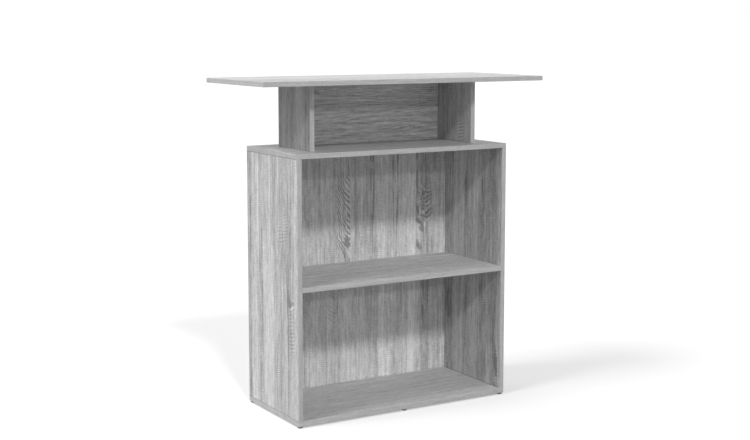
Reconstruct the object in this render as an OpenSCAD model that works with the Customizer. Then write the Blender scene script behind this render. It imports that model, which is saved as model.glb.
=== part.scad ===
// Standing reception desk: an open two-bay cabinet, a narrower open riser on top of it
// and a wide worktop, all of foil-faced board, held by dowels, cam fixings and screws.
// The origin is on the floor at the middle of the footprint. The open side faces -Y.

/* [Desk] */
// Height of the desk from the floor to the top of the worktop
desk_h = 1043; // [1020:1:1120]

/* [Worktop] */
// Width of the worktop, left to right
worktop_w = 1000; // [900:1:1400]
// Depth of the worktop, front to back
worktop_d = 400; // [380:1:600]
// Thickness of the worktop
worktop_t = 15; // [15:0.5:25]

/* [Cabinet] */
// Width of the cabinet over its sides
cabinet_w = 757; // [660:1:880]
// Depth of the cabinet, front to back
cabinet_d = 343; // [320:1:375]
// Height of the cabinet from under its base to the top of its top panel
cabinet_h = 822; // [760:1:850]
// Clear height of the lower bay, from the base up to the shelf
lower_bay_h = 392; // [300:1:460]

/* [Riser] */
// Width of the riser over its sides
riser_w = 601; // [480:1:630]
// Depth of the riser, front to back
riser_d = 209; // [190:1:230]
// Distance from the front edge of the worktop back to the front edge of the riser
riser_setback = 94; // [70:1:110]

/* [Boards] */
// Thickness of every board of the cabinet and the riser
board_t = 15; // [15:0.5:19]
// Thickness of the strips that cover the edges of the boards
band_t = 0.8; // [0.4:0.1:2]

/* [Dowels] */
// Diameter of the fluted wooden dowels
dowel_d = 8; // [6:0.5:9]
// Length of a dowel
dowel_l = 30; // [24:1:40]
// Depth that a dowel goes into the face of a board
dowel_face_depth = 10; // [8:0.5:12]
// Number of flutes round a dowel
dowel_flutes = 12; // [8:1:16]
// Depth of a flute
dowel_flute_depth = 0.3; // [0.1:0.05:0.5]
// Distance from a board's front or rear edge to the dowel nearest to it
dowel_inset = 28; // [26:1:34]

/* [Cam fixings] */
// Diameter of a cam lock
cam_d = 15; // [12:0.5:18]
// Height of a cam lock
cam_h = 12; // [11:0.1:12.6]
// Distance from the end of a board to the middle of the cam lock in its face
cam_setback = 34; // [24:1:40]
// Diameter of the bolt's thread
bolt_thread_d = 6; // [5:0.5:7]
// Length of the bolt's thread
bolt_thread_l = 10; // [8:0.5:12]
// Diameter of the bolt's collar, which stops on the face of the board
bolt_collar_d = 7.4; // [7.2:0.1:8.5]
// Diameter of the bolt's shank
bolt_shank_d = 5.5; // [5:0.1:6.5]
// Diameter of the bolt's neck, which the cam lock closes round
bolt_neck_d = 3.6; // [3:0.1:4.4]
// Diameter of the bolt's head
bolt_head_d = 6.6; // [6:0.1:7]
// Distance from a board's front or rear edge to the fixing nearest to it
fixing_inset = 60; // [56:1:70]
// Width that a cover cap overlaps the board round the cam lock
cap_lip = 1; // [0.5:0.1:2]
// Thickness of a cover cap's disc
cap_t = 0.8; // [0.5:0.1:1.5]

/* [Screws] */
// Diameter over the thread of a furniture screw
screw_d = 7; // [5:0.5:8]
// Length of a furniture screw
screw_l = 50; // [40:1:60]
// Diameter of the countersunk head
screw_head_d = 10; // [9:0.5:12]
// Width across the flats of the socket in the head
socket_w = 4; // [3:0.5:5]
// Depth of the socket in the head
socket_depth = 2.8; // [2:0.1:3.5]

/* [Feet] */
// Diameter of a foot glide
glide_d = 16; // [12:0.5:24]
// Height of a foot glide under the base
glide_h = 6; // [3:0.5:10]
// Distance from the edge of the cabinet to the rim of a glide
glide_edge = 1; // [0.5:0.5:4]
// Diameter of the nail in a glide
nail_d = 2; // [1.5:0.1:2.5]
// Depth that the nail goes into the base
nail_depth = 11; // [8:0.5:12]
// Diameter of the nail's head
nail_head_d = 5; // [4:0.1:6]
// Thickness of the nail's head
nail_head_t = 0.9; // [0.6:0.1:1.1]

/* [Clearances] */
// Gap between a dowel, thread, shank or cam lock and the wall of its bore
bore_play = 0.1; // [0.05:0.05:0.3]
// Gap between the collar of a cam bolt and the wall of its bore
collar_play = 0.3; // [0.1:0.1:0.5]
// Gap between the end of a dowel, bolt or screw and the bottom of its bore
end_play = 0.5; // [0.2:0.1:1]
// Gap between the top of a cam lock and the face of its board
cam_recess = 0.3; // [0.1:0.1:0.5]

/* [Hidden] */
$fn = 48;

// Levels, from the floor up
base_z = glide_h;
side_z = base_z + board_t;
shelf_z = side_z + lower_bay_h;
side_h = cabinet_h - 2 * board_t;
cabinet_top_z = side_z + side_h;
riser_z = cabinet_top_z + board_t;
worktop_z = desk_h - worktop_t;
riser_h = worktop_z - riser_z;

// Faces of the cabinet, which stands centred under the worktop
cabinet_x = cabinet_w / 2;
inner_x = cabinet_x - board_t;
side_mid_x = cabinet_x - board_t / 2;
cabinet_front = -cabinet_d / 2;
cabinet_rear = cabinet_d / 2;
back_front = cabinet_rear - board_t;
back_mid_y = cabinet_rear - board_t / 2;

// Faces of the riser
riser_x = riser_w / 2;
riser_inner_x = riser_x - board_t;
riser_mid_x = riser_x - board_t / 2;
riser_front = riser_setback - worktop_d / 2;
riser_rear = riser_front + riser_d;
riser_back_mid_y = riser_rear - board_t / 2;

// Places along a joint: the middles of n equal parts of a length
function middles(n, length) = [for (i = [0:n - 1]) length * ((i + 0.5) / n - 0.5)];
function inset_pair(front, rear, inset) = [front + inset, rear - inset];

cabinet_fixing_y = inset_pair(cabinet_front, cabinet_rear, fixing_inset);
cabinet_dowel_y = inset_pair(cabinet_front, cabinet_rear, dowel_inset);
shelf_fixing_y = inset_pair(cabinet_front, back_front, fixing_inset);
shelf_dowel_y = inset_pair(cabinet_front, back_front, dowel_inset);
riser_fixing_y = inset_pair(riser_front, riser_rear, fixing_inset);
riser_dowel_y = inset_pair(riser_front, riser_rear, dowel_inset);
back_screw_x = middles(4, 2 * inner_x);
back_foot_dowel_x = middles(2, 2 * inner_x);
back_top_dowel_x = middles(3, 2 * inner_x);
back_dowel_z = middles(3, side_h);
riser_back_screw_x = middles(2, 2 * riser_inner_x);
riser_back_dowel_x = middles(3, 2 * riser_inner_x);
riser_back_dowel_z = middles(2, riser_h);
SIDES = [-1, 1];

// Sizes of the bores and of the hidden ends of the fixings
cut = 1;
cam_bore_d = cam_d + 2 * bore_play;
cam_bore_depth = cam_h + cam_recess;
bolt_bore_d = bolt_collar_d + 2 * collar_play;
collar_t = 1.4;
neck_play = 0.4;
bolt_thread_rise = 0.8;
bolt_pitch = 2;
screw_thread_rise = 1;
screw_pitch = 3;
screw_shank_l = 6;
screw_tip_l = 4;
dowel_chamfer = 1;
cap_stem_d = 3.6;
cap_stem_l = 1.8;
cap_edge = 0.3;
cross_l = 8;
cross_w = 1.4;
cross_depth = 2.4;
glide_chamfer = 0.8;
glide_bore_d = nail_d + 2 * bore_play;
nail_recess = 0.3;
nail_tip_l = 3;
// Colours of the foil, the core's fixings and the plastic
foil_light = [0.80, 0.79, 0.78];
foil_mid = [0.66, 0.65, 0.64];
foil_dark = [0.52, 0.51, 0.50];
beech = [0.80, 0.66, 0.47];
zinc = [0.75, 0.76, 0.78];
cast_zinc = [0.58, 0.59, 0.61];
grey_plastic = [0.44, 0.44, 0.45];

// A board from one corner to the opposite one
module board(low, high) {
    translate(low) cube(high - low);
}

// Places of the fixings. Each has its own frame there: z = 0 is where two boards meet, +Z goes
// into the board that is drilled in its face, -Z into the one that is drilled in its end, and
// +X is the face that a cam lock is set in.
module at(points, turn) {
    for (p = points) translate(p) rotate(turn) children();
}

module at_worktop_fixings() {
    for (s = SIDES, y = riser_fixing_y)
        translate([s * riser_mid_x, y, worktop_z]) rotate([0, 0, s < 0 ? 0 : 180]) children();
}

module at_worktop_dowels() {
    at([for (s = SIDES, y = riser_dowel_y) [s * riser_mid_x, y, worktop_z]], [0, 0, 0]) children();
    at([for (x = riser_back_dowel_x) [x, riser_back_mid_y, worktop_z]], [0, 0, 0]) children();
}

module at_riser_back_dowels() {
    for (s = SIDES, z = riser_back_dowel_z)
        translate([s * riser_inner_x, riser_back_mid_y, riser_z + riser_h / 2 + z])
            rotate([0, 90 * s, 0]) children();
}

module at_riser_screws() {
    at([for (s = SIDES, y = riser_fixing_y) [s * riser_mid_x, y, riser_z]], [180, 0, 0]) children();
    at([for (x = riser_back_screw_x) [x, riser_back_mid_y, riser_z]], [180, 0, 0]) children();
}

module at_riser_foot_dowels() {
    at([for (s = SIDES, y = riser_dowel_y) [s * riser_mid_x, y, riser_z]], [180, 0, 0]) children();
    at([for (x = riser_back_dowel_x) [x, riser_back_mid_y, riser_z]], [180, 0, 0]) children();
}

module at_cabinet_top_fixings() {
    for (s = SIDES, y = cabinet_fixing_y)
        translate([s * side_mid_x, y, cabinet_top_z]) rotate([0, 0, s < 0 ? 0 : 180]) children();
}

module at_cabinet_top_dowels() {
    at([for (s = SIDES, y = cabinet_dowel_y) [s * side_mid_x, y, cabinet_top_z]], [0, 0, 0]) children();
    at([for (x = back_top_dowel_x) [x, back_mid_y, cabinet_top_z]], [0, 0, 0]) children();
}

module at_cabinet_back_dowels() {
    for (s = SIDES, z = back_dowel_z)
        translate([s * inner_x, back_mid_y, side_z + side_h / 2 + z]) rotate([0, 90 * s, 0]) children();
}

module at_shelf_fixings() {
    for (s = SIDES, y = shelf_fixing_y)
        translate([s * inner_x, y, shelf_z + board_t / 2])
            rotate([0, 90 * s, 0]) rotate([0, 0, s < 0 ? 180 : 0]) children();
}

module at_shelf_dowels() {
    for (s = SIDES, y = shelf_dowel_y)
        translate([s * inner_x, y, shelf_z + board_t / 2]) rotate([0, 90 * s, 0]) children();
    at([for (x = back_foot_dowel_x) [x, back_front, shelf_z + board_t / 2]], [-90, 0, 0]) children();
}

module at_base_screws() {
    at([for (s = SIDES, y = cabinet_fixing_y) [s * side_mid_x, y, side_z]], [180, 0, 0]) children();
    at([for (x = back_screw_x) [x, back_mid_y, side_z]], [180, 0, 0]) children();
}

module at_base_dowels() {
    at([for (s = SIDES, y = cabinet_dowel_y) [s * side_mid_x, y, side_z]], [180, 0, 0]) children();
    at([for (x = back_foot_dowel_x) [x, back_mid_y, side_z]], [180, 0, 0]) children();
}

module at_feet() {
    inset = glide_edge + glide_d / 2;
    for (x = [inset - cabinet_x, 0, cabinet_x - inset], y = inset_pair(cabinet_front, cabinet_rear, inset))
        translate([x, y, 0]) children();
}

// Bores
module dowel_bore() {
    translate([0, 0, dowel_face_depth - dowel_l - end_play])
        cylinder(d = dowel_d + 2 * bore_play, h = dowel_l + 2 * end_play);
}

module bolt_face_bore() {
    translate([0, 0, -cut]) cylinder(d = bolt_thread_d + 2 * bore_play, h = cut + bolt_thread_l + end_play);
}

module bolt_end_bore() {
    translate([0, 0, -cam_setback]) cylinder(d = bolt_bore_d, h = cam_setback + cut);
}

module cam_bore() {
    translate([board_t / 2 - cam_bore_depth, 0, -cam_setback])
        rotate([0, 90, 0]) cylinder(d = cam_bore_d, h = cam_bore_depth + cut);
}

module cam_fixing_end_bores() {
    bolt_end_bore();
    cam_bore();
}

module screw_face_bore() {
    head_r = screw_head_d / 2 + bore_play;
    hole_r = screw_d / 2 + bore_play;
    translate([0, 0, -cut]) cylinder(r = hole_r, h = board_t + 2 * cut);
    translate([0, 0, board_t - (head_r - hole_r)])
        cylinder(r1 = hole_r, r2 = head_r + cut, h = head_r - hole_r + cut);
}

module screw_end_bore() {
    depth = screw_l - board_t + end_play;
    translate([0, 0, -depth]) cylinder(d = screw_d + 2 * bore_play, h = depth + cut);
}

module nail_bore() {
    translate([0, 0, base_z - cut]) cylinder(d = glide_bore_d, h = cut + nail_depth + end_play);
}

// Fixings
// Outline of a thread from one height up to another: as many ridges of one pitch as fit,
// each a core corner, two crest corners and a core corner, at these shares of the pitch
RIDGE = [0.1, 0.4, 0.6, 0.9];
function ridges(low, high, core_r, crest_r, pitch) = [
    for (i = [0:floor((high - low) / pitch) - 1], step = [0:3])
        [step == 1 || step == 2 ? crest_r : core_r, low + (i + RIDGE[step]) * pitch]
];

module fluted_outline() {
    crest = dowel_d / 2;
    steps = 2 * dowel_flutes;
    polygon([for (i = [0:steps - 1])
        (i % 2 == 0 ? crest : crest - dowel_flute_depth) * [cos(360 * i / steps), sin(360 * i / steps)]]);
}

module dowel() {
    blunt = dowel_d / 2 - dowel_chamfer;
    rim = dowel_d / 2 + bore_play;
    slope = rim - blunt;
    translate([0, 0, dowel_face_depth - dowel_l]) intersection() {
        linear_extrude(dowel_l) fluted_outline();
        rotate_extrude() polygon([
            [0, 0], [blunt, 0], [rim, slope], [rim, dowel_l - slope], [blunt, dowel_l], [0, dowel_l]
        ]);
    }
}

module cam_bolt() {
    core = bolt_thread_d / 2 - bolt_thread_rise;
    shank = bolt_shank_d / 2;
    neck = bolt_neck_d / 2;
    head = bolt_head_d / 2;
    head_flat = head * cos(45);
    neck_top = cam_d / 2 + neck_play - cam_setback;
    rotate_extrude() polygon(concat(
        [[0, -cam_setback - head], [head_flat, -cam_setback - head_flat], [head, -cam_setback],
         [neck, -cam_setback + head - neck], [neck, neck_top], [shank, neck_top + shank - neck],
         [shank, -collar_t], [bolt_collar_d / 2, -collar_t], [bolt_collar_d / 2, 0], [core, 0]],
        ridges(0, bolt_thread_l - bolt_thread_rise, core, bolt_thread_d / 2, bolt_pitch),
        [[core, bolt_thread_l - bolt_thread_rise], [core - bolt_thread_rise, bolt_thread_l],
         [0, bolt_thread_l]]
    ));
}

module cam_lock() {
    middle = board_t / 2 - cam_recess;
    entry = bolt_head_d + 2 * neck_play;
    chamber = entry + neck_play;
    slot = bolt_neck_d + 2 * neck_play;
    sweep = bolt_neck_d + neck_play;
    translate([middle, 0, -cam_setback]) rotate([0, 90, 0]) difference() {
        translate([0, 0, -cam_h]) cylinder(d = cam_d, h = cam_h);
        translate([0, 0, -middle]) {
            cylinder(d = chamber, h = chamber, center = true);
            rotate([0, 90, 0]) cylinder(d = entry, h = cam_d);
            rotate([0, -90, 0]) cylinder(d = slot, h = cam_d);
            rotate_extrude(angle = 180)
                translate([0, -sweep / 2]) square([cam_d, sweep]);
        }
        for (turn = [0, 90]) rotate([0, 0, turn])
            translate([-cross_l / 2, -cross_w / 2, -cross_depth]) cube([cross_l, cross_w, cross_depth + cut]);
        translate([0, 0, -cross_depth]) cylinder(d = cap_stem_d + 2 * bore_play, h = cross_depth + cut);
    }
}

module cam_cap() {
    rim = cam_bore_d / 2 + cap_lip;
    stem = cap_stem_d / 2;
    translate([board_t / 2, 0, -cam_setback]) rotate([0, 90, 0]) rotate_extrude() polygon([
        [0, -cap_stem_l], [stem, -cap_stem_l], [stem, 0], [rim, 0],
        [rim, cap_t - cap_edge], [rim - cap_edge, cap_t], [0, cap_t]
    ]);
}

module screw() {
    head = screw_head_d / 2;
    crest = screw_d / 2;
    core = crest - screw_thread_rise;
    thread_top = -screw_shank_l;
    tip = board_t - screw_l;
    difference() {
        rotate_extrude() polygon(concat(
            [[0, tip], [core / 2, tip]],
            ridges(tip + screw_tip_l, thread_top, core, crest, screw_pitch),
            [[core, thread_top], [crest, thread_top + crest - core], [crest, board_t - (head - crest)],
             [head, board_t], [0, board_t]]
        ));
        translate([0, 0, board_t - socket_depth])
            cylinder(r = socket_w / 2 / cos(30), h = socket_depth + cut, $fn = 6);
    }
}

module foot_glide() {
    rim = glide_d / 2;
    bore = glide_bore_d / 2;
    seat = nail_head_d / 2 + bore_play;
    seat_h = nail_recess + nail_head_t;
    rotate_extrude() polygon([
        [seat, 0], [rim - glide_chamfer, 0], [rim, glide_chamfer], [rim, glide_h],
        [bore, glide_h], [bore, seat_h], [seat, seat_h]
    ]);
}

module foot_nail() {
    head = nail_head_d / 2;
    shank = nail_d / 2;
    under = nail_recess + nail_head_t;
    point = base_z + nail_depth;
    rotate_extrude() polygon([
        [0, nail_recess], [head, nail_recess], [head, under], [shank, under],
        [shank, point - nail_tip_l], [0, point]
    ]);
}

// Boards and their edge bands
// Strips along the four edges of a panel, the long ones covering the ends of the short ones
module band_ring(w, d, z, t) {
    for (s = SIDES) {
        board([-w / 2, s < 0 ? -d / 2 : d / 2 - band_t, z], [w / 2, s < 0 ? band_t - d / 2 : d / 2, z + t]);
        board([s < 0 ? -w / 2 : w / 2 - band_t, band_t - d / 2, z],
              [s < 0 ? band_t - w / 2 : w / 2, d / 2 - band_t, z + t]);
    }
}

module panel_core(w, d, z, t) {
    board([band_t - w / 2, band_t - d / 2, z], [w / 2 - band_t, d / 2 - band_t, z + t]);
}

// Strips on the front and rear edges of an upright board on the right
module upright_bands(x, front, rear, z, h) {
    board([x - board_t, front, z], [x, front + band_t, z + h]);
    board([x - board_t, rear - band_t, z], [x, rear, z + h]);
}

module worktop() {
    color(foil_light) difference() {
        panel_core(worktop_w, worktop_d, worktop_z, worktop_t);
        at_worktop_fixings() bolt_face_bore();
        at_worktop_dowels() dowel_bore();
    }
}

module worktop_edge_bands() {
    color(foil_mid) band_ring(worktop_w, worktop_d, worktop_z, worktop_t);
}

module riser_side() {
    color(foil_mid) difference() {
        board([riser_inner_x, riser_front + band_t, riser_z], [riser_x, riser_rear - band_t, worktop_z]);
        at_worktop_fixings() cam_fixing_end_bores();
        at_worktop_dowels() dowel_bore();
        at_riser_back_dowels() dowel_bore();
        at_riser_foot_dowels() dowel_bore();
        at_riser_screws() screw_end_bore();
    }
}

module riser_right_side() {
    riser_side();
}

module riser_left_side() {
    mirror([1, 0, 0]) riser_side();
}

module riser_right_edge_bands() {
    color(foil_mid) upright_bands(riser_x, riser_front, riser_rear, riser_z, riser_h);
}

module riser_left_edge_bands() {
    mirror([1, 0, 0]) riser_right_edge_bands();
}

module riser_back_panel() {
    color(foil_dark) difference() {
        board([-riser_inner_x, riser_rear - board_t, riser_z], [riser_inner_x, riser_rear, worktop_z]);
        at_worktop_dowels() dowel_bore();
        at_riser_back_dowels() dowel_bore();
        at_riser_foot_dowels() dowel_bore();
        at_riser_screws() screw_end_bore();
    }
}

module cabinet_top() {
    color(foil_light) difference() {
        panel_core(cabinet_w, cabinet_d, cabinet_top_z, board_t);
        at_cabinet_top_fixings() bolt_face_bore();
        at_cabinet_top_dowels() dowel_bore();
        at_riser_screws() screw_face_bore();
        at_riser_foot_dowels() dowel_bore();
    }
}

module cabinet_top_edge_bands() {
    color(foil_mid) band_ring(cabinet_w, cabinet_d, cabinet_top_z, board_t);
}

module cabinet_side() {
    color(foil_light) difference() {
        board([inner_x, cabinet_front + band_t, side_z], [cabinet_x, cabinet_rear - band_t, cabinet_top_z]);
        at_cabinet_top_fixings() cam_fixing_end_bores();
        at_cabinet_top_dowels() dowel_bore();
        at_cabinet_back_dowels() dowel_bore();
        at_shelf_fixings() bolt_face_bore();
        at_shelf_dowels() dowel_bore();
        at_base_dowels() dowel_bore();
        at_base_screws() screw_end_bore();
    }
}

module cabinet_right_side() {
    cabinet_side();
}

module cabinet_left_side() {
    mirror([1, 0, 0]) cabinet_side();
}

module cabinet_right_edge_bands() {
    color(foil_mid) upright_bands(cabinet_x, cabinet_front, cabinet_rear, side_z, side_h);
}

module cabinet_left_edge_bands() {
    mirror([1, 0, 0]) cabinet_right_edge_bands();
}

module cabinet_back_panel() {
    color(foil_dark) difference() {
        board([-inner_x, back_front, side_z], [inner_x, cabinet_rear, cabinet_top_z]);
        at_cabinet_top_dowels() dowel_bore();
        at_cabinet_back_dowels() dowel_bore();
        at_shelf_dowels() dowel_bore();
        at_base_dowels() dowel_bore();
        at_base_screws() screw_end_bore();
    }
}

module shelf() {
    color(foil_mid) difference() {
        board([-inner_x, cabinet_front + band_t, shelf_z], [inner_x, back_front, shelf_z + board_t]);
        at_shelf_fixings() cam_fixing_end_bores();
        at_shelf_dowels() dowel_bore();
    }
}

module shelf_edge_band() {
    color(foil_mid)
        board([-inner_x, cabinet_front, shelf_z], [inner_x, cabinet_front + band_t, shelf_z + board_t]);
}

module base_panel() {
    color(foil_mid) difference() {
        panel_core(cabinet_w, cabinet_d, base_z, board_t);
        at_base_screws() screw_face_bore();
        at_base_dowels() dowel_bore();
        at_feet() nail_bore();
    }
}

module base_edge_bands() {
    color(foil_mid) band_ring(cabinet_w, cabinet_d, base_z, board_t);
}

// Fixings in their places
module worktop_dowels() {
    color(beech) at_worktop_dowels() dowel();
}

module riser_back_dowels() {
    color(beech) at_riser_back_dowels() dowel();
}

module riser_foot_dowels() {
    color(beech) at_riser_foot_dowels() dowel();
}

module cabinet_top_dowels() {
    color(beech) at_cabinet_top_dowels() dowel();
}

module cabinet_back_dowels() {
    color(beech) at_cabinet_back_dowels() dowel();
}

module shelf_dowels() {
    color(beech) at_shelf_dowels() dowel();
}

module base_dowels() {
    color(beech) at_base_dowels() dowel();
}

module worktop_cam_bolts() {
    color(zinc) at_worktop_fixings() cam_bolt();
}

module riser_cam_locks() {
    color(cast_zinc) at_worktop_fixings() cam_lock();
}

module riser_cam_caps() {
    color(foil_mid) at_worktop_fixings() cam_cap();
}

module cabinet_top_cam_bolts() {
    color(zinc) at_cabinet_top_fixings() cam_bolt();
}

module cabinet_cam_locks() {
    color(cast_zinc) at_cabinet_top_fixings() cam_lock();
}

module cabinet_cam_caps() {
    color(foil_mid) at_cabinet_top_fixings() cam_cap();
}

module shelf_cam_bolts() {
    color(zinc) at_shelf_fixings() cam_bolt();
}

module shelf_cam_locks() {
    color(cast_zinc) at_shelf_fixings() cam_lock();
}

module shelf_cam_caps() {
    color(foil_mid) at_shelf_fixings() cam_cap();
}

module riser_screws() {
    color(zinc) at_riser_screws() screw();
}

module base_screws() {
    color(zinc) at_base_screws() screw();
}

module foot_glides() {
    color(grey_plastic) at_feet() foot_glide();
}

module foot_nails() {
    color(zinc) at_feet() foot_nail();
}

worktop();
worktop_edge_bands();
riser_left_side();
riser_left_edge_bands();
riser_right_side();
riser_right_edge_bands();
riser_back_panel();
cabinet_top();
cabinet_top_edge_bands();
cabinet_left_side();
cabinet_left_edge_bands();
cabinet_right_side();
cabinet_right_edge_bands();
cabinet_back_panel();
shelf();
shelf_edge_band();
base_panel();
base_edge_bands();
worktop_dowels();
riser_back_dowels();
riser_foot_dowels();
cabinet_top_dowels();
cabinet_back_dowels();
shelf_dowels();
base_dowels();
worktop_cam_bolts();
riser_cam_locks();
riser_cam_caps();
cabinet_top_cam_bolts();
cabinet_cam_locks();
cabinet_cam_caps();
shelf_cam_bolts();
shelf_cam_locks();
shelf_cam_caps();
riser_screws();
base_screws();
foot_glides();
foot_nails();
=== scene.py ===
import math

import bmesh
import bpy
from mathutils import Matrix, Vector


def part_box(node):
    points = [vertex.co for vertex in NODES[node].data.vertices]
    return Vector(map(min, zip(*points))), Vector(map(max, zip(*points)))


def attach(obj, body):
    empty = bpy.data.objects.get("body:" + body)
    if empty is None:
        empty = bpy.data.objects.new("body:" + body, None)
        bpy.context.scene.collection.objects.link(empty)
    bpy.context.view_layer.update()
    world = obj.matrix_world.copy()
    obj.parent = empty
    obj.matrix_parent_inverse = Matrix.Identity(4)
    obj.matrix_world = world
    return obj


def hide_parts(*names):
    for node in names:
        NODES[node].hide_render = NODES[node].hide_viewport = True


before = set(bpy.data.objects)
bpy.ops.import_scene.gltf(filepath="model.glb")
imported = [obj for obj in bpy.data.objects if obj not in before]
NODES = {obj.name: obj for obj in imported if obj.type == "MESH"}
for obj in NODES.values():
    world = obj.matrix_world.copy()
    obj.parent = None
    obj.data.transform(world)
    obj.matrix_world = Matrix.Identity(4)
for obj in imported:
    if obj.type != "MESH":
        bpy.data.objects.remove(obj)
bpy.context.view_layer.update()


# Shader building
class Number:
    """A number in a material: one output socket, on which sums, products and so on add Math nodes."""

    def __init__(self, shader, socket):
        self.shader = shader
        self.socket = socket

    def math(self, operation, *numbers):
        made = self.shader.node("ShaderNodeMath", {"operation": operation}, dict(enumerate(numbers)))
        return Number(self.shader, made.outputs[0])

    def __add__(self, other):
        return self.math("ADD", self, other)

    def __sub__(self, other):
        return self.math("SUBTRACT", self, other)

    def __mul__(self, other):
        return self.math("MULTIPLY", self, other)

    def __truediv__(self, other):
        return self.math("DIVIDE", self, other)

    def __pow__(self, other):
        return self.math("POWER", self, other)

    def __radd__(self, other):
        return self.math("ADD", other, self)

    def __rsub__(self, other):
        return self.math("SUBTRACT", other, self)

    def __rmul__(self, other):
        return self.math("MULTIPLY", other, self)

    def __gt__(self, other):
        return self.math("GREATER_THAN", self, other)

    def __lt__(self, other):
        return self.math("LESS_THAN", self, other)

    def size(self):
        return self.math("ABSOLUTE", self)

    def sine(self):
        return self.math("SINE", self)

    def ramp(self, low, high, low_value=0.0, high_value=1.0):
        """Runs smoothly from low_value, where the number is low, to high_value, where it is high."""
        made = self.shader.node(
            "ShaderNodeMapRange",
            {"interpolation_type": "SMOOTHSTEP", "clamp": False},
            {"Value": self, "From Min": low, "From Max": high, "To Min": low_value, "To Max": high_value},
        )
        return Number(self.shader, made.outputs["Result"])


class Shader:
    """The nodes of one material, or of the world."""

    def __init__(self, owner):
        self.owner = owner
        owner.use_nodes = True
        self.tree = owner.node_tree
        self.tree.nodes.clear()

    def node(self, kind, settings=None, sockets=None):
        """Adds a node, with its settings first and then the values or links of its sockets."""
        made = self.tree.nodes.new(kind)
        for name, value in (settings or {}).items():
            setattr(made, name, value)
        for name, value in (sockets or {}).items():
            socket = made.inputs[name]
            if isinstance(value, Number):
                self.tree.links.new(value.socket, socket)
            elif isinstance(value, bpy.types.NodeSocket):
                self.tree.links.new(value, socket)
            else:
                socket.default_value = value
        return made

    def position(self):
        """The three coordinates of a point on the object, in metres."""
        place = self.node("ShaderNodeTexCoord").outputs["Object"]
        split = self.node("ShaderNodeSeparateXYZ", sockets={"Vector": place})
        return {axis: Number(self, split.outputs[axis.upper()]) for axis in "xyz"}

    def point(self, x, y, z):
        return self.node("ShaderNodeCombineXYZ", sockets={"X": x, "Y": y, "Z": z}).outputs[0]

    def noise(self, x, y, z=0.0, detail=2.0, roughness=0.5):
        """Smooth noise from 0 to 1. The coordinates are in wavelengths."""
        made = self.node(
            "ShaderNodeTexNoise",
            {"noise_dimensions": "3D"},
            {"Vector": self.point(x, y, z), "Scale": 1.0, "Detail": detail, "Roughness": roughness},
        )
        return Number(self, made.outputs["Fac"])

    def mix(self, factor, a, b):
        """A colour between two colours."""
        made = self.node("ShaderNodeMix", {"data_type": "RGBA"}, {0: factor, 6: a, 7: b})
        return made.outputs[2]

    def finish(self, colour, roughness, height=None, bump=0.0, constants=()):
        """Connects the surface. The sockets named in constants take one value all over."""
        sockets = {"Base Color": colour, "Roughness": roughness, **dict(constants)}
        if height is not None:
            sockets["Normal"] = self.node(
                "ShaderNodeBump", sockets={"Strength": 1.0, "Distance": bump, "Height": height}
            ).outputs["Normal"]
        surface = self.node("ShaderNodeBsdfPrincipled", sockets=sockets)
        self.node("ShaderNodeOutputMaterial", sockets={"Surface": surface.outputs["BSDF"]})
        return self.owner


def grey(level):
    return (level, level, level, 1.0)


def between(number, low, high, edge):
    """1 between two values and 0 outside them, with soft edges."""
    return number.ramp(low - edge, low + edge) * number.ramp(high - edge, high + edge, 1.0, 0.0)


# Oak foil
FOIL = 0.0001          # thickness of the foil on the chipboard
STRIP = 0.052          # usual width of one oak strip in the print
SAW = 0.0062           # spacing of the saw's marks along the grain
JOINT_SHADE_WIDTH = 0.0025          # width of the painted shade at the ends of an upright board, standing for the shadow in its joints
DARKEST = 0.45         # shade 0, as a part of the board's own grey
LIGHTEST = 1.55        # shade 1, as a part of the board's own grey
WHITEST = 0.95         # the lightest grey that any foil can have
EMBOSSING = 0.00012    # depth of the grain in the foil of a board
EDGE_EMBOSSING = 0.00008  # the same on an edge band
FOIL_GLOSS = {"Specular IOR Level": 0.35}


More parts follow.
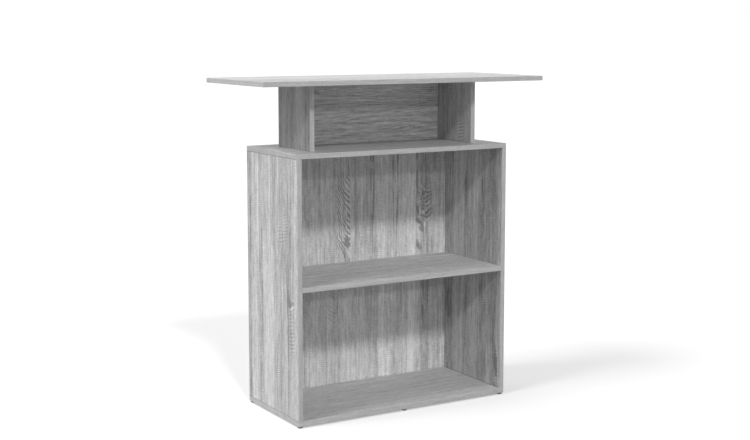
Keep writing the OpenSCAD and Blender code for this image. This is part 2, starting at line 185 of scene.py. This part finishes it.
class OakPrint:
    """Printed oak, with its shade and its height. Shade 0.5 is the board's own grey.

    Places are in metres along and across the grain. Noise takes them in waves, so there each one is
    multiplied by its waves per metre.
    """

    def __init__(self, shader, along, across, cut):
        """The cut is a number that differs from face to face, so that no two faces are alike."""
        self.shader = shader
        self.along = along
        self.across = across + (shader.noise(along * 2.6, across * 11, cut, detail=1) - 0.5) * 0.011
        self.face = 1.0
        # Streaks stop where breaks is 0, and ladders and flecks fade where worn is low
        self.breaks = shader.noise(along * 14, self.across * 60, cut).ramp(0.36, 0.56)
        self.worn = self.breaks * 0.6 + 0.4
        self.wobble = shader.noise(along * 25, self.across * 60, cut, detail=1) * 5
        # Strips of oak side by side, each with a tone and a pattern of its own
        along, across = along + cut * 1.7, self.across + cut * 0.9
        strips = shader.node(
            "ShaderNodeTexVoronoi", {"voronoi_dimensions": "1D"}, {"W": across, "Scale": 1 / STRIP}
        )
        chance = shader.node("ShaderNodeSeparateColor", sockets={"Color": strips.outputs["Color"]})
        tone = Number(shader, chance.outputs["Red"])
        own = Number(shader, chance.outputs["Green"]) * 40
        # The grain, from its broad bands to its fibres, with pores, cracks and patches of saw marks
        broad = shader.noise(along * 1.5, across * 38, own, detail=1)
        streaks = shader.noise(along * 6.5, across * 135, own, detail=2, roughness=0.65)
        threads = shader.noise(along * 9, across * 250, own + 1, detail=1)
        fibres = shader.noise(along * 30, across * 330, own, detail=2, roughness=0.7)
        dashes = shader.noise(along * 30, across * 90, own + 5, detail=2, roughness=0.6)
        pores = shader.noise(along * 45, across * 300, own + 3).ramp(0.64, 0.72)
        cracks = shader.noise(along * 4, across * 190, own + 9).ramp(0.69, 0.77)
        patch = shader.noise(along * 12, across * 45, own + 5).ramp(0.48, 0.64)
        lean = along + across * 0.12
        saw = (lean * (2 * math.pi / SAW) + shader.noise(along * 18, across * 70, detail=1) * 8).sine()
        nap = shader.noise(lean * 230, across * 75, own + 7, detail=1)
        self.shade = (
            0.5
            + (tone - 0.5) * 0.12
            + (broad - 0.5) * 0.40
            + (streaks - 0.5) * 0.80
            + (threads - 0.5) * 0.55
            + (dashes - 0.5) * 0.60
            + (fibres - 0.5) * 0.45
            + (nap - 0.5) * 0.42
            - pores * 0.13
            - cracks * 0.28
            + saw * patch * 0.12
        )
        self.height = fibres * 0.5 + nap * 0.3 - pores * 0.5 - cracks * 0.5 + saw * patch * 0.15

    def mark(self, where, tone, relief=0.0):
        """Adds a tone, and some relief, in a place on the face that is being printed."""
        where = where * self.face
        self.shade = self.shade + where * tone
        if relief:
            self.height = self.height + where * relief

    def spot(self, low, high, bottom, top, edge, fade=0.04):
        """1 in a box on the face: from low to high across the grain, and from bottom to top along it.

        With no bottom, the box runs from end to end. Edge softens its long sides and fade its ends.
        """
        wide = between(self.across, low, high, edge)
        return wide if bottom is None else wide * between(self.along, bottom, top, fade)

    def strip(self, low, high, tone, bottom=None, top=None, edge=0.003):
        """A strip that is lighter or darker than the rest: mostly wood, and on a few faces painted light or
        painted shade.
        """
        self.mark(self.spot(low, high, bottom, top, edge), tone)

    def streak(self, centre, width, bottom, top, tone):
        """A broken dark line along the grain."""
        line = self.spot(centre - width / 2, centre + width / 2, bottom, top, width / 2)
        self.mark(line * self.breaks, tone, -0.4)

    def ladder(self, low, high, bottom, top, pitch, tone):
        """Saw marks across the grain."""
        rungs = ((self.along + self.across * 0.2) * (2 * math.pi / pitch) + self.wobble * 0.8).sine()
        self.mark(self.spot(low, high, bottom, top, 0.004, 0.012) * rungs * self.worn, tone, 0.4)

    def arches(self, low, high, bottom, top, crown, rise, pitch, power, swirl, tone):
        """Nested arches of growth rings in one strip, one arch a pitch.

        The crown is their middle across the grain. Rise and power set how steeply they run, and
        swirl how far they wander.
        """
        noise = self.shader.noise
        turn = (noise(self.along * 26, self.across * 34, low * 70, detail=1) - 0.5) * swirl
        drift = (noise(self.along * 9, self.across * 12, low * 30, detail=1) - 0.5) * 0.04
        aside = (self.across - crown + turn).size()
        level = self.along - aside ** power * rise + turn * 1.5 + drift
        lines = ((level * (2 * math.pi / pitch)).sine() * 0.5 + 0.5) ** 1.5
        heavy = noise(level / pitch * 0.45, self.across * 40, 3.0).ramp(0.30, 0.60, 0.25, 1.0)
        inside = self.spot(low, high, bottom, top, 0.0012, 0.03)
        self.mark(inside, 0.12)
        self.mark(inside * lines * heavy, tone, -0.5)

    def flame(self, pitch, tone, sway=0.045):
        """Long wavy lines along the grain, here and there."""
        noise = self.shader.noise
        wave = noise(self.along * 5, self.across * 14, pitch * 900, detail=1) * sway
        patch = noise(self.along * 7, self.across * 20, pitch * 500).ramp(0.38, 0.62)
        self.mark(((self.across + wave) * (2 * math.pi / pitch)).sine() * patch, tone, 0.2)

    def dapple(self, length, width, tone):
        """Short light and dark dashes along the grain, each about as long and as wide as given."""
        self.mark(self.shader.noise(self.along / length, self.across / width, 7.0) - 0.5, tone, 0.2)

    def fleck(self, across, along, reach, width, lean, tone):
        """A long soft spot, dark or light, that leans away from the grain by so many degrees."""
        turn = math.radians(lean)
        aside, beyond = self.across - across, self.along - along
        lengthwise = (beyond * math.cos(turn) + aside * math.sin(turn)) / reach
        crosswise = (aside * math.cos(turn) - beyond * math.sin(turn)) / width
        ragged = self.breaks * 0.7 + self.wobble * 0.3
        radius = (lengthwise * lengthwise + crosswise * crosswise) * ragged
        self.mark(radius.ramp(0.1, 1.6, 1.0, 0.0) * self.worn, tone, tone * 0.5)


def chipboard(shader, place):
    """The core of a board, which shows in its bores and at its hidden ends: its colour and height."""
    point = shader.point(place["x"], place["y"], place["z"])
    flakes = shader.node("ShaderNodeTexVoronoi", sockets={"Vector": point, "Scale": 420.0})
    chance = shader.node("ShaderNodeSeparateColor", sockets={"Color": flakes.outputs["Color"]})
    tone = Number(shader, chance.outputs["Blue"])
    colour = shader.mix(tone, (0.30, 0.20, 0.12, 1.0), (0.62, 0.47, 0.31, 1.0))
    return colour, tone * 1.5


def foil(name, along, boards, level, contrast, faces=(), joint_shade=0.0):
    """Oak foil on one board, or on a pair of boards left and right of the middle.

    The grain runs along one axis. Level is the board's own grey. The last number sets how dark the painted
    shade at the board's ends is, which stands for the shadow in the joints between boards.
    Faces lists the marks of each face, in order along the axis through the boards.
    """
    boxes = [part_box(board) for board in boards]
    size = boxes[0][1] - boxes[0][0]
    thick = min(range(3), key=lambda axis: size[axis])
    through = "xyz"[thick]
    across = ({"x", "y", "z"} - {along, through}).pop()
    shader = Shader(bpy.data.materials.new(name))
    place = shader.position()
    middles = sorted((low[thick] + high[thick]) / 2 for low, high in boxes)
    between_faces = middles if len(middles) == 1 else [middles[0], 0.0, middles[1]]
    passed = [place[through] > limit for limit in between_faces]
    masks = [1 - passed[0]] + [low - high for low, high in zip(passed, passed[1:])] + [passed[-1]]
    # The cut takes a step from face to face, and starts from the length of the foil's name
    oak = OakPrint(shader, place[along], place[across], sum(passed) * 3.1 + len(name))
    for mask, marks in zip(masks, faces):
        oak.face = mask
        for kind, *numbers in marks:
            getattr(oak, kind)(*numbers)
    end = boxes[0][1]["xyz".index(along)]
    start = boxes[0][0]["xyz".index(along)]
    from_middle = (place[along] - (start + end) / 2).size()
    # Painted shade: each board darkens towards its ends along the grain, in place of the shadow in the
    # joints
    painted_joint_shade = from_middle.ramp((end - start) / 2 - JOINT_SHADE_WIDTH, (end - start) / 2) * joint_shade
    shade = 0.5 + (oak.shade - 0.5) * contrast - painted_joint_shade
    printed = shader.mix(shade, grey(level * DARKEST), grey(min(level * LIGHTEST, WHITEST)))
    cores = [(place[through] - middle).size() < size[thick] / 2 - FOIL for middle in middles]
    core = sum(cores)
    core_colour, core_height = chipboard(shader, place)
    height = oak.height * (1 - core) + core_height * core
    roughness = 0.50 + oak.height * 0.08 + core * 0.35
    colour = shader.mix(core, printed, core_colour)
    return shader.finish(colour, roughness, height, EMBOSSING, FOIL_GLOSS)


def paint(material, *names):
    """Gives CAD nodes a material."""
    for name in names:
        slots = NODES[name].data.materials
        slots.clear()
        slots.append(material)


# The marks on each face. A mark is the name of a method of OakPrint, followed by its numbers. Places
# are in metres from the object's origin, which is on the floor under the middle of the desk.
WORKTOP_MARKS = [
    ("flame", 0.011, 0.05),
    ("strip", 0.030, 0.085, 0.12, -0.52, -0.22, 0.010),
    ("strip", -0.160, -0.085, -0.10, -0.52, -0.22, 0.012),
    ("strip", -0.150, -0.110, 0.07, 0.18, 0.36, 0.010),
]
CABINET_LEFT_OUTER_MARKS = [
    ("strip", 0.146, 0.175, -0.20),
    ("streak", 0.1495, 0.0034, 0.495, 0.665, -1.1),
    ("streak", 0.1490, 0.0026, 0.05, 0.44, -0.40),
    ("strip", 0.114, 0.146, 0.06),
    ("strip", 0.088, 0.114, 0.14),
    ("strip", 0.092, 0.106, -0.14, 0.02, 0.46),
    ("strip", 0.155, 0.167, 0.12, 0.52, 0.83),
    ("strip", 0.090, 0.108, 0.16, 0.53, 0.78),
    ("strip", 0.094, 0.100, 0.20, 0.57, 0.83, 0.0015),
    ("ladder", 0.084, 0.126, 0.635, 0.708, 0.0074, 0.24),
    ("strip", 0.062, 0.090, -0.08, 0.02, 0.54, 0.005),
    ("streak", 0.072, 0.0030, 0.22, 0.66, -0.45),
    ("strip", 0.038, 0.064, 0.20, 0.06, 0.56),
    ("strip", 0.020, 0.036, -0.12, 0.46, 0.83),
    ("strip", 0.004, 0.034, 0.14, 0.00, 0.60),
    ("strip", -0.012, 0.006, 0.20, 0.10, 0.54),
    ("strip", 0.009, 0.015, 0.20, 0.52, 0.83, 0.0015),
    ("strip", -0.031, -0.006, -0.16),
    ("streak", -0.019, 0.0030, 0.40, 0.56, -0.45),
    ("strip", -0.046, -0.038, 0.26, 0.72, 0.83, 0.0015),
    ("strip", -0.111, -0.052, -0.10),
    ("strip", -0.098, -0.062, 0.14, 0.02, 0.46),
    ("strip", -0.080, -0.060, 0.10, 0.58, 0.83),
    ("strip", -0.052, -0.028, -0.13, 0.02, 0.28),
    ("strip", -0.026, -0.008, 0.10, 0.26, 0.64),
    ("strip", -0.126, -0.103, -0.16, 0.24, 0.70),
    ("ladder", -0.112, -0.064, 0.560, 0.640, 0.0098, 0.12),
    ("ladder", -0.080, -0.034, 0.545, 0.610, 0.0112, 0.10),
    ("streak", -0.099, 0.0030, 0.38, 0.56, -0.45),
    ("streak", -0.062, 0.0030, 0.08, 0.30, -0.35),
    ("ladder", -0.045, -0.020, 0.133, 0.160, 0.0070, 0.32),
    ("streak", -0.1030, 0.0040, 0.20, 0.42, -0.75),
    ("strip", -0.165, -0.148, 0.10, 0.34, 0.83),
    ("strip", -0.150, -0.118, -0.08, 0.20, 0.60),
    ("fleck", -0.112, 0.385, 0.030, 0.008, 8, -0.55),
    ("fleck", -0.122, 0.371, 0.016, 0.011, 50, -0.40),
    ("fleck", -0.137, 0.364, 0.014, 0.005, -70, 0.50),
    ("fleck", -0.124, 0.357, 0.010, 0.004, -60, 0.40),
    ("fleck", -0.139, 0.377, 0.006, 0.012, 20, -0.35),
    ("ladder", -0.150, -0.112, 0.225, 0.345, 0.0115, 0.20),
]
CABINET_RIGHT_INNER_MARKS = [
    ("strip", 0.108, 0.157, -0.20),
    ("streak", 0.125, 0.004, 0.45, 0.80, -0.40),
    ("fleck", 0.140, 0.265, 0.050, 0.012, -12, -0.45),
    ("fleck", 0.125, 0.235, 0.040, 0.012, -16, -0.35),
    ("strip", 0.112, 0.132, 0.16, 0.42, 0.83),
    ("strip", 0.050, 0.104, 0.10),
    ("strip", 0.038, 0.060, 0.13),
    ("strip", 0.014, 0.022, -0.12, 0.50, 0.83),
    ("strip", -0.042, -0.014, 0.13),
    ("strip", -0.076, -0.056, -0.12),
    ("strip", -0.148, -0.118, -0.17),
    # Painted light: the upper rear part, which lies in shade under the cabinet top, is lighter
    ("strip", -0.070, 0.157, 0.08, 0.62, 0.83),
    ("streak", 0.034, 0.004, 0.58, 0.72, -0.55),
    ("streak", 0.025, 0.005, 0.60, 0.80, -0.45),
    ("streak", 0.027, 0.004, 0.20, 0.34, -0.40),
    ("streak", -0.063, 0.005, 0.55, 0.72, -0.60),
    ("streak", -0.058, 0.003, 0.50, 0.63, -0.45),
    ("ladder", -0.120, -0.045, 0.285, 0.310, 0.0085, 0.14),
    ("ladder", -0.165, -0.080, 0.560, 0.700, 0.0065, 0.08),
    ("streak", -0.148, 0.012, 0.00, 0.135, -1.30),
    ("ladder", -0.156, -0.142, 0.02, 0.15, 0.0120, 0.40),
]
CABINET_BACK_FRONT_MARKS = [
    ("arches", -0.0615, -0.0125, 0.470, 0.71, 0.018, 16.3, 0.0200, 2.0, 0.010, -0.75),
    ("fleck", -0.022, 0.493, 0.024, 0.0090, -10, -0.75),
    ("fleck", -0.034, 0.452, 0.034, 0.0040, -16, -0.55),
    ("fleck", -0.018, 0.430, 0.016, 0.0050, 0, -0.50),
    ("streak", -0.050, 0.003, 0.41, 0.50, -0.35),
    ("streak", -0.045, 0.003, 0.66, 0.82, -0.40),
    ("streak", -0.017, 0.004, 0.70, 0.82, -0.40),
    ("arches", -0.0115, 0.060, 0.42, 0.56, 0.030, 12.0, 0.0120, 1.6, 0.010, -0.20),
    ("streak", 0.066, 0.005, 0.66, 0.80, -0.55),
    ("streak", 0.077, 0.005, 0.56, 0.80, -0.55),
    ("streak", 0.072, 0.003, 0.43, 0.62, -0.40),
    ("strip", -0.038, -0.026, -0.24, 0.44, 0.72),
    ("strip", -0.002, 0.080, -0.14, 0.43, 0.83),
    ("strip", 0.004, 0.022, -0.10, 0.43, 0.74),
    ("strip", 0.082, 0.150, 0.05),
    ("strip", 0.095, 0.117, 0.12),
    ("streak", 0.156, 0.005, 0.52, 0.82, -0.45),
    ("streak", 0.172, 0.005, 0.55, 0.82, -0.50),
    ("streak", 0.168, 0.003, 0.43, 0.60, -0.40),
    ("strip", 0.180, 0.243, 0.16),
    ("strip", 0.215, 0.240, 0.14),
    ("strip", 0.264, 0.297, -0.20),
    ("arches", 0.2435, 0.3065, 0.545, 0.655, 0.287, 34.0, 0.0170, 2.0, 0.022, -0.75),
    ("streak", 0.2480, 0.007, 0.57, 0.82, -0.50),
    ("streak", 0.2860, 0.004, 0.65, 0.75, -0.60),
    ("fleck", 0.250, 0.585, 0.024, 0.005, -14, -0.60),
    ("fleck", 0.255, 0.543, 0.018, 0.009, -56, -0.75),
    ("fleck", 0.271, 0.519, 0.018, 0.007, -12, -0.75),
    ("fleck", 0.262, 0.516, 0.012, 0.006, -40, -0.50),
    ("fleck", 0.284, 0.535, 0.018, 0.007, 25, 0.30),
    ("fleck", 0.249, 0.468, 0.016, 0.006, -6, -0.75),
    ("fleck", 0.256, 0.456, 0.014, 0.008, -40, -0.75),
    ("fleck", 0.278, 0.574, 0.014, 0.005, 70, 0.50),
    ("fleck", 0.293, 0.600, 0.014, 0.007, 20, 0.45),
    ("streak", 0.309, 0.004, 0.60, 0.72, -0.40),
    ("ladder", 0.338, 0.364, 0.590, 0.760, 0.0078, 0.14),
    ("ladder", -0.330, -0.290, 0.33, 0.36, 0.0075, 0.15),
    ("ladder", -0.205, -0.185, 0.22, 0.36, 0.0080, 0.13),
    ("streak", -0.327, 0.004, 0.20, 0.41, -0.35),
    ("streak", -0.248, 0.004, 0.20, 0.36, -0.35),
    ("arches", -0.155, 0.010, 0.20, 0.42, -0.070, 5.0, 0.0150, 1.5, 0.012, -0.20),
    ("streak", 0.185, 0.004, 0.20, 0.38, -0.50),
    ("streak", 0.275, 0.006, 0.20, 0.40, -0.45),
]
CABINET_BACK_REAR_MARKS = [
    ("strip", -0.300, -0.235, 0.14),
    ("streak", -0.228, 0.004, 0.10, 0.66, -0.40),
    ("strip", -0.120, -0.075, -0.12),
    ("strip", 0.040, 0.130, 0.10),
    ("arches", 0.150, 0.205, 0.32, 0.62, 0.178, 14.0, 0.0180, 1.8, 0.012, -0.45),
    ("strip", 0.215, 0.250, -0.14),
]
CABINET_RIGHT_OUTER_MARKS = [
    ("strip", -0.120, -0.075, 0.14),
    ("streak", -0.068, 0.004, 0.30, 0.70, -0.45),
    ("strip", 0.010, 0.052, -0.12),
    ("strip", 0.090, 0.124, 0.12),
]
RISER_LEFT_OUTER_MARKS = [
    # Partly painted shade: the whole face is darker, for the shade under the worktop's overhang as well as
    # for a darker print
    ("strip", -0.120, 0.120, -0.14),
    ("strip", 0.075, 0.104, -0.12),
    ("strip", 0.000, 0.020, -0.16),
    ("strip", -0.070, -0.008, 0.14),
    ("streak", -0.079, 0.008, 0.80, 1.04, -0.45),
    ("streak", -0.096, 0.003, 0.80, 1.04, -0.40),
]
RISER_RIGHT_INNER_MARKS = [
    # Painted light: the whole face is lighter, in place of light that falls on it under the worktop
    ("strip", -0.120, 0.120, 0.20),
    ("strip", -0.020, 0.090, -0.12),
    ("streak", -0.050, 0.005, 0.87, 1.04, -0.45),
    ("ladder", -0.070, -0.024, 0.828, 0.900, 0.0105, 0.30),
    ("strip", -0.107, -0.070, 0.10),
]
RISER_BACK_FRONT_MARKS = [
    ("flame", 0.0085, 0.20, 0.07),
    ("flame", 0.0210, 0.16, 0.06),
    ("dapple", 0.030, 0.0075, 0.7),
]
paint(foil("worktop foil", "x", ["worktop"], 0.51, 0.95, [[], WORKTOP_MARKS]), "worktop")
riser_side = foil(
    "riser side foil", "z", ["riser_left_side", "riser_right_side"], 0.48, 0.9,
    [RISER_LEFT_OUTER_MARKS, [], RISER_RIGHT_INNER_MARKS, []], 0.5,
)
paint(riser_side, "riser_left_side", "riser_right_side", "riser_cam_caps")
paint(
    foil("riser back foil", "x", ["riser_back_panel"], 0.76, 0.90, [RISER_BACK_FRONT_MARKS, []]),
    "riser_back_panel",
)
paint(
    foil("cabinet top foil", "x", ["cabinet_top"], 0.42, 0.9, [[], [("flame", 0.009, 0.08)]]),
    "cabinet_top",
)
cabinet_side = foil(
    "cabinet side foil", "z", ["cabinet_left_side", "cabinet_right_side"], 0.555, 1.0,
    [CABINET_LEFT_OUTER_MARKS, [], CABINET_RIGHT_INNER_MARKS, CABINET_RIGHT_OUTER_MARKS], 0.9,
)
paint(cabinet_side, "cabinet_left_side", "cabinet_right_side", "cabinet_cam_caps")
cabinet_back = foil(
    "cabinet back foil", "z", ["cabinet_back_panel"], 0.65, 1.0,
    [CABINET_BACK_FRONT_MARKS, CABINET_BACK_REAR_MARKS], 0.3,
)
paint(cabinet_back, "cabinet_back_panel")
paint(
    foil("shelf foil", "x", ["shelf"], 0.54, 1.0, [[], [("flame", 0.012, 0.06)]]),
    "shelf", "shelf_cam_caps",
)
paint(foil("base foil", "x", ["base_panel"], 0.54, 0.8), "base_panel")


# Edge bands: strips of foil with rounded outer edges
ROUNDING = 0.0005
BAND_CONTRAST = 0.45   # the print is fainter here than on the boards


def band_foil(name, along, level):
    """Oak foil on the strips that run along one axis. Level is its grey."""
    shader = Shader(bpy.data.materials.new(name))
    place = shader.position()
    around = [place[axis] for axis in "xyz" if axis != along]
    oak = OakPrint(shader, place[along], around[0] + around[1], float(len(name)))
    shade = 0.5 + (oak.shade - 0.5) * BAND_CONTRAST
    colour = shader.mix(shade, grey(level * DARKEST), grey(level * LIGHTEST))
    return shader.finish(colour, 0.45, oak.height, EDGE_EMBOSSING, FOIL_GLOSS)


def add_strip(shape, low, high, outward, sides, material):
    """One strip between two corners. The edges of its outward face are rounded towards the sides."""
    made = bmesh.ops.create_cube(shape, size=1.0)["verts"]
    bmesh.ops.scale(shape, vec=high - low, verts=made)
    bmesh.ops.translate(shape, vec=(low + high) / 2, verts=made)
    faces = {face for vert in made for face in vert.link_faces}
    for face in faces:
        face.material_index = material
    outer = next(face for face in faces if face.normal.dot(outward) > 0.9)
    edges = [
        edge
        for edge in outer.edges
        if any(face.normal.dot(side) > 0.9 for face in edge.link_faces for side in sides)
    ]
    bmesh.ops.bevel(
        shape, geom=edges, offset=ROUNDING, offset_type="OFFSET", segments=3, profile=0.5,
        affect="EDGES", material=-1,
    )


LEFT, FRONT, DOWN = Vector((-1, 0, 0)), Vector((0, -1, 0)), Vector((0, 0, -1))
BAND = (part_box("shelf_edge_band")[1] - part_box("shelf_edge_band")[0]).y
# For each strip: where it faces, the sides that it is rounded towards, and the number of its material
RING = [
    (FRONT, (DOWN, -DOWN, LEFT, -LEFT), 0),
    (-FRONT, (DOWN, -DOWN, LEFT, -LEFT), 0),
    (LEFT, (DOWN, -DOWN), 1),
    (-LEFT, (DOWN, -DOWN), 1),
]
FRONT_AND_REAR = [(FRONT, (LEFT, -LEFT), 0), (-FRONT, (LEFT, -LEFT), 0)]
FRONT_ONLY = [(FRONT, (DOWN, -DOWN), 0)]


def add_edge_bands(node, strips, materials):
    """The edge bands of one board as one piece. It stands for the CAD node, in the same place."""
    low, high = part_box(node)
    shape = bmesh.new()
    for outward, sides, material in strips:
        start, end = low.copy(), high.copy()
        if outward in (LEFT, -LEFT):
            start.y += BAND
            end.y -= BAND
            start.x, end.x = (low.x, low.x + BAND) if outward == LEFT else (high.x - BAND, high.x)
        else:
            start.y, end.y = (low.y, low.y + BAND) if outward == FRONT else (high.y - BAND, high.y)
        add_strip(shape, start, end, outward, sides, material)
    mesh = bpy.data.meshes.new(node + "_rounded")
    shape.to_mesh(mesh)
    shape.free()
    for material in materials:
        mesh.materials.append(material)
    piece = bpy.data.objects.new(node + "_rounded", mesh)
    bpy.context.scene.collection.objects.link(piece)
    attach(piece, "root")
    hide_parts(node)


wide_foil = band_foil("edge foil along the width", "x", 0.51)
deep_foil = band_foil("edge foil along the depth", "y", 0.53)
upright_foil = band_foil("upright edge foil", "z", 0.51)
for node in ("worktop_edge_bands", "cabinet_top_edge_bands", "base_edge_bands"):
    add_edge_bands(node, RING, [wide_foil, deep_foil])
for side in ("riser_left", "riser_right", "cabinet_left", "cabinet_right"):
    add_edge_bands(side + "_edge_bands", FRONT_AND_REAR, [upright_foil])
add_edge_bands("shelf_edge_band", FRONT_ONLY, [wide_foil])


# Fixings and feet
def beech(along):
    """Raw beech with its short brown flecks, for dowels that lie along one axis."""
    shader = Shader(bpy.data.materials.new("beech along " + along))
    place = shader.position()
    first, second = (place[axis] for axis in "xyz" if axis != along)
    length = place[along]
    fibre = shader.noise(first * 900, second * 900, length * 40, detail=3, roughness=0.6)
    fleck = shader.noise(first * 1600, second * 1600, length * 420).ramp(0.62, 0.70)
    ring = (shader.noise(first * 260, second * 260, length * 9, detail=1) * 14).sine() * 0.5 + 0.5
    shade = fibre * 0.7 + ring * 0.2
    wood = shader.mix(shade, (0.47, 0.29, 0.16, 1.0), (0.76, 0.57, 0.37, 1.0))
    colour = shader.mix(fleck * 0.6, wood, (0.30, 0.16, 0.08, 1.0))
    roughness = 0.55 + fibre * 0.15
    return shader.finish(colour, roughness, fibre - fleck * 0.4, 0.00005)


def plated_steel():
    """Bright zinc plating, with the fine blotches of the bath."""
    shader = Shader(bpy.data.materials.new("zinc plating"))
    place = shader.position()
    bloom = shader.noise(place["x"] * 500, place["y"] * 500, place["z"] * 500, detail=3)
    scuffs = shader.noise(place["x"] * 2600, place["y"] * 2600, place["z"] * 700, detail=2)
    colour = shader.mix(bloom, (0.58, 0.59, 0.60, 1.0), (0.80, 0.80, 0.79, 1.0))
    roughness = 0.20 + bloom * 0.14 + scuffs * 0.10
    return shader.finish(colour, roughness, scuffs, 0.00001, {"Metallic": 1.0})


def cast_metal():
    """Die-cast zinc: dull, with a fine grain."""
    shader = Shader(bpy.data.materials.new("cast zinc"))
    place = shader.position()
    grain = shader.noise(place["x"] * 3200, place["y"] * 3200, place["z"] * 3200, detail=2)
    cloud = shader.noise(place["x"] * 240, place["y"] * 240, place["z"] * 240, detail=2)
    colour = shader.mix(cloud, (0.42, 0.43, 0.45, 1.0), (0.62, 0.62, 0.63, 1.0))
    return shader.finish(colour, 0.38 + grain * 0.18, grain, 0.00003, {"Metallic": 1.0})


def glide_plastic():
    """Grey polyethylene with a fine moulded grain, a little scuffed."""
    shader = Shader(bpy.data.materials.new("glide plastic"))
    place = shader.position()
    grain = shader.noise(place["x"] * 2400, place["y"] * 2400, place["z"] * 2400, detail=2)
    scuff = shader.noise(place["x"] * 300, place["y"] * 900, place["z"] * 300, detail=3).ramp(0.55, 0.75)
    colour = shader.mix(grain * 0.6 + scuff * 0.4, grey(0.22), grey(0.31))
    return shader.finish(colour, 0.42 + scuff * 0.2, grain, 0.00003, {"Specular IOR Level": 0.4})


paint(beech("z"), "worktop_dowels", "riser_foot_dowels", "cabinet_top_dowels", "base_dowels")
paint(beech("x"), "riser_back_dowels", "cabinet_back_dowels", "shelf_dowels")
paint(
    plated_steel(),
    "worktop_cam_bolts", "cabinet_top_cam_bolts", "shelf_cam_bolts",
    "riser_screws", "base_screws", "foot_nails",
)
paint(cast_metal(), "riser_cam_locks", "cabinet_cam_locks", "shelf_cam_locks")
paint(glide_plastic(), "foot_glides")


# Camera, floor and light
VIEW_FROM = Vector((-2.1743, -3.6269, 1.1980))
VIEW_YAW = math.radians(-30.820)
VIEW_PITCH = math.radians(-6.958)
LENS = 64.005          # the focal length and the sensor's width are in millimetres
SENSOR = 36
SHIFT = -0.04
FLOOR_REACH = 40       # from the middle of the floor to its edge
FLOOR_GREY = 0.3       # the grey that lights the desk from below
FLOOR_GLOW = 0.35      # part of the floor's white that shadows leave alone


def add_camera():
    """Close to the photograph's own place, with most of its vertical shift turned into tilt."""
    camera = bpy.data.objects.new("camera", bpy.data.cameras.new("camera"))
    camera.data.lens = LENS
    camera.data.sensor_width = SENSOR
    camera.data.shift_y = SHIFT
    camera.location = VIEW_FROM
    camera.rotation_euler = (math.pi / 2 + VIEW_PITCH, 0, VIEW_YAW)
    bpy.context.scene.collection.objects.link(camera)
    bpy.context.scene.camera = camera


def add_light(name, azimuth, elevation, angle, strength):
    """A soft lamp far away. Azimuth 0 is in front of the desk and 90 on its right.

    The angle is the lamp's width. All three are in degrees.
    """
    lamp = bpy.data.lights.new(name, "SUN")
    lamp.angle = math.radians(angle)
    lamp.energy = strength
    holder = bpy.data.objects.new(name, lamp)
    turn, lift = math.radians(azimuth), math.radians(elevation)
    away = Vector((math.sin(turn) * math.cos(lift), -math.cos(turn) * math.cos(lift), math.sin(lift)))
    holder.rotation_mode = "QUATERNION"
    holder.rotation_quaternion = away.to_track_quat("Z", "Y")
    bpy.context.scene.collection.objects.link(holder)


def shown_directly(shader):
    """1 for what the camera sees, itself or through gloss and glass, and 0 for the light on other things."""
    path = shader.node("ShaderNodeLightPath").outputs
    camera, glossy, through = (
        Number(shader, path[name]) for name in ("Is Camera Ray", "Is Glossy Ray", "Is Transmission Ray")
    )
    return camera.math("MAXIMUM", camera.math("MAXIMUM", camera, glossy), through)


def add_floor():
    """A wide floor that looks white, with a pale shadow, and throws as little light back as a grey one."""
    mesh = bpy.data.meshes.new("floor")
    shape = bmesh.new()
    bmesh.ops.create_grid(shape, x_segments=1, y_segments=1, size=FLOOR_REACH)
    shape.to_mesh(mesh)
    shape.free()
    floor = bpy.data.objects.new("floor", mesh)
    bpy.context.scene.collection.objects.link(floor)
    shader = Shader(bpy.data.materials.new("floor paint"))
    shown = shown_directly(shader)
    colour = shader.mix(shown, grey(FLOOR_GREY), grey(1.0 - FLOOR_GLOW))
    glow = shader.mix(shown, grey(0.0), grey(FLOOR_GLOW))
    constants = {"Specular IOR Level": 0.0, "Emission Color": glow, "Emission Strength": 1.0}
    mesh.materials.append(shader.finish(colour, 0.9, constants=constants))


def light_world(strength):
    """A white world, which lights the desk only as much as the strength says."""
    world = bpy.data.worlds.new("studio")
    shader = Shader(world)
    glow = strength + shown_directly(shader) * (1 - strength)
    sky = shader.node("ShaderNodeBackground", sockets={"Color": grey(1.0), "Strength": glow})
    shader.node("ShaderNodeOutputWorld", sockets={"Surface": sky.outputs["Background"]})
    bpy.context.scene.world = world


add_camera()
add_floor()
light_world(0.345)
add_light("front light", -14, 38.9, 6, 1.29)
add_light("low front light", 0, 17.8, 2, 0.21)
add_light("left light", -90, 50, 25, 1.83)
add_light("rear light", 195, 32, 30, 0.5)
bpy.context.scene.view_settings.view_transform = "Standard"
